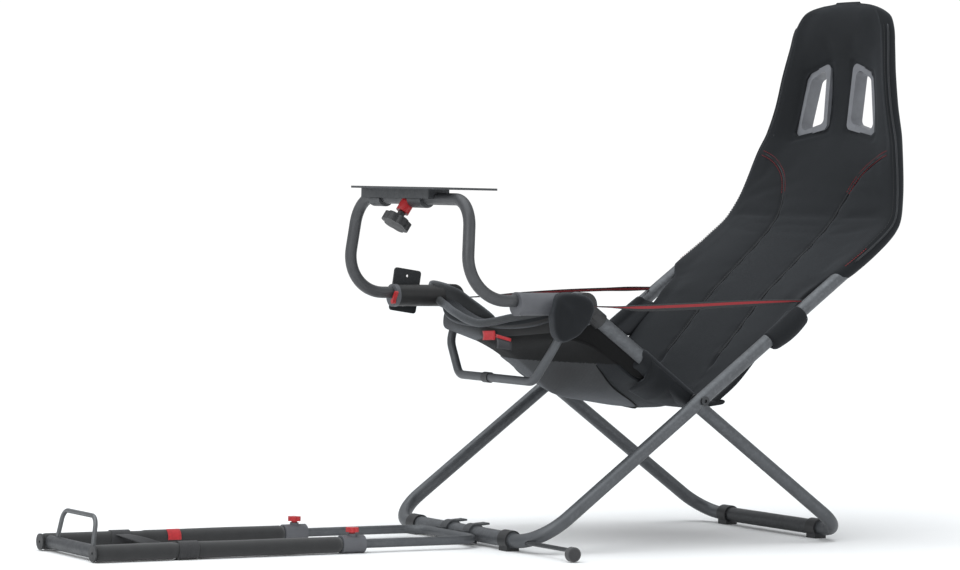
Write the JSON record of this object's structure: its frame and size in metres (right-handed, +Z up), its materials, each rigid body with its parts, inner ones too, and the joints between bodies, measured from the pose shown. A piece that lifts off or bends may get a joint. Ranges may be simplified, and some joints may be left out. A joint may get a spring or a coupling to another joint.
{
  "type": "folding racing simulator seat",
  "caption": "Folding sling seat on crossed tube frames, with a raised hoop and plate for a steering wheel and a telescoping pedal frame on the floor.",
  "frame": {"origin": "on the floor under the middle of the whole object, outrigger included", "axes": "+Z up, +Y towards the sitter's back, +X towards the sitter's left"},
  "size_m": [0.6658, 1.675, 1.0361],
  "materials": {
    "frame_metal": "satin charcoal powder coat",
    "plate_metal": "fine textured powder coat",
    "loop_metal": "satin",
    "steel": "zinc plated",
    "black_plastic": "moulded grain",
    "grey_plastic": "moulded grain",
    "red_plastic": "semi gloss",
    "foam_sleeve": "matt foam tube",
    "foot_rubber": "matt",
    "black_fabric": "knitted fabric",
    "webbing": "woven webbing with a red stripe"
  },
  "bodies": {
    "root": {"front_floor_bar": "frame_metal", "front_foot_left": "black_plastic", "front_foot_right": "black_plastic"},
    "back_frame": {"back_leg_left": "frame_metal", "back_leg_right": "frame_metal", "backrest_hoop": "frame_metal", "backrest_pad": "black_fabric", "harness_bezel_left": "grey_plastic", "harness_bezel_right": "grey_plastic", "back_loop_left": "black_fabric", "back_loop_right": "black_fabric", "pivot_bolts": "steel", "pivot_nuts": "steel", "pivot_washers": "black_plastic", "outrigger_bush": "black_plastic"},
    "seat_frame": {"seat_leg_left": "frame_metal", "seat_leg_right": "frame_metal", "rear_floor_bar": "frame_metal", "rear_foot_left": "black_plastic", "rear_foot_right": "black_plastic", "seat_hub_left": "black_plastic", "seat_hub_right": "black_plastic", "hub_bolts": "steel", "seat_stretcher": "frame_metal", "stretcher_collar": "black_plastic", "seat_pan": "black_fabric", "seat_crease": "black_fabric", "seat_loop_left": "black_fabric", "seat_loop_right": "black_fabric", "side_strap_left": "webbing", "side_strap_right": "webbing"},
    "wheel_arms": {"arm_sleeve_left": "grey_plastic", "arm_sleeve_right": "grey_plastic", "arm_rings": "grey_plastic", "accessory_plate": "plate_metal"},
    "wheel_mount": {"wheel_hoop": "frame_metal"},
    "plate_clamp": {"wheel_plate": "plate_metal", "clamp_saddle": "plate_metal", "plate_screws": "steel", "clamp_cap_near": "plate_metal", "clamp_cap_far": "plate_metal", "clamp_jaw": "red_plastic"},
    "clamp_screw": {"clamp_knob": "black_plastic"},
    "lever": {"release_lever": "red_plastic"},
    "pedal_inner": {"pedal_inner_frame": "frame_metal", "pedal_hooks": "plate_metal"},
    "pedal_outer": {"pedal_tube_left": "frame_metal", "pedal_tube_right": "frame_metal", "pedal_sleeve_left": "foam_sleeve", "pedal_sleeve_right": "foam_sleeve", "pedal_plugs": "black_plastic", "lock_collar_left": "grey_plastic", "lock_collar_right": "grey_plastic", "pedal_end_bar": "frame_metal", "pedal_stop_loop": "loop_metal", "pedal_strap": "webbing"},
    "lock_left": {"lock_knob_left": "red_plastic"},
    "lock_right": {"lock_knob_right": "red_plastic"},
    "outrigger": {"outrigger_rod": "steel", "outrigger_foot": "foot_rubber"}
  },
  "joints": [
    {"name": "frame_lean", "type": "hinge", "parent": "root", "child": "back_frame", "pos_m": [-0.05315, -0.03829, 0.02], "axis": [1, 0, 0], "range_deg": [0, 38]},
    {"name": "frame_fold", "type": "hinge", "parent": "back_frame", "child": "seat_frame", "pos_m": [-0.05315, 0.3055, 0.273], "axis": [-1, 0, 0], "range_deg": [0, 73], "deforming": ["seat_crease", "side_strap_left", "side_strap_right"]},
    {"name": "arm_tilt", "type": "hinge", "parent": "seat_frame", "child": "wheel_arms", "pos_m": [-0.05315, 0.06054, 0.44619], "axis": [-1, 0, 0], "range_deg": [-15, 20]},
    {"name": "wheel_reach", "type": "slide", "parent": "wheel_arms", "child": "wheel_mount", "axis": [0, -1, 0], "range_m": [-0.012, 0.04]},
    {"name": "plate_tilt", "type": "hinge", "parent": "wheel_mount", "child": "plate_clamp", "pos_m": [-0.05315, -0.1575, 0.631], "axis": [1, 0, 0], "range_deg": [-15, 15]},
    {"name": "clamp_turn", "type": "hinge", "parent": "plate_clamp", "child": "clamp_screw", "pos_m": [-0.06515, -0.1575, 0.631], "axis": [0, -0.5446, -0.8387], "continuous": true},
    {"name": "lever_rock", "type": "hinge", "parent": "wheel_arms", "child": "lever", "pos_m": [-0.26115, -0.0755, 0.436], "axis": [0, 1, 0], "range_deg": [0, 40]},
    {"name": "pedal_lift", "type": "hinge", "parent": "root", "child": "pedal_inner", "pos_m": [-0.05315, -0.03829, 0.02], "axis": [-1, 0, 0], "range_deg": [0, 40]},
    {"name": "pedal_reach", "type": "slide", "parent": "pedal_inner", "child": "pedal_outer", "axis": [0, -1, 0], "range_m": [-0.12, 0.08]},
    {"name": "lock_turn_left", "type": "hinge", "parent": "pedal_outer", "child": "lock_left", "pos_m": [0.05485, -0.3315, 0.03], "axis": [0, 0, 1], "continuous": true},
    {"name": "lock_turn_right", "type": "hinge", "parent": "pedal_outer", "child": "lock_right", "pos_m": [-0.16115, -0.3315, 0.03], "axis": [0, 0, 1], "continuous": true},
    {"name": "outrigger_reach", "type": "slide", "parent": "back_frame", "child": "outrigger", "axis": [1, 0, 0], "range_m": [-0.05, 0]}
  ],
  "couplings": [
    {"joint": "frame_fold", "follows": "frame_lean", "ratio": 1.905}
  ]
}
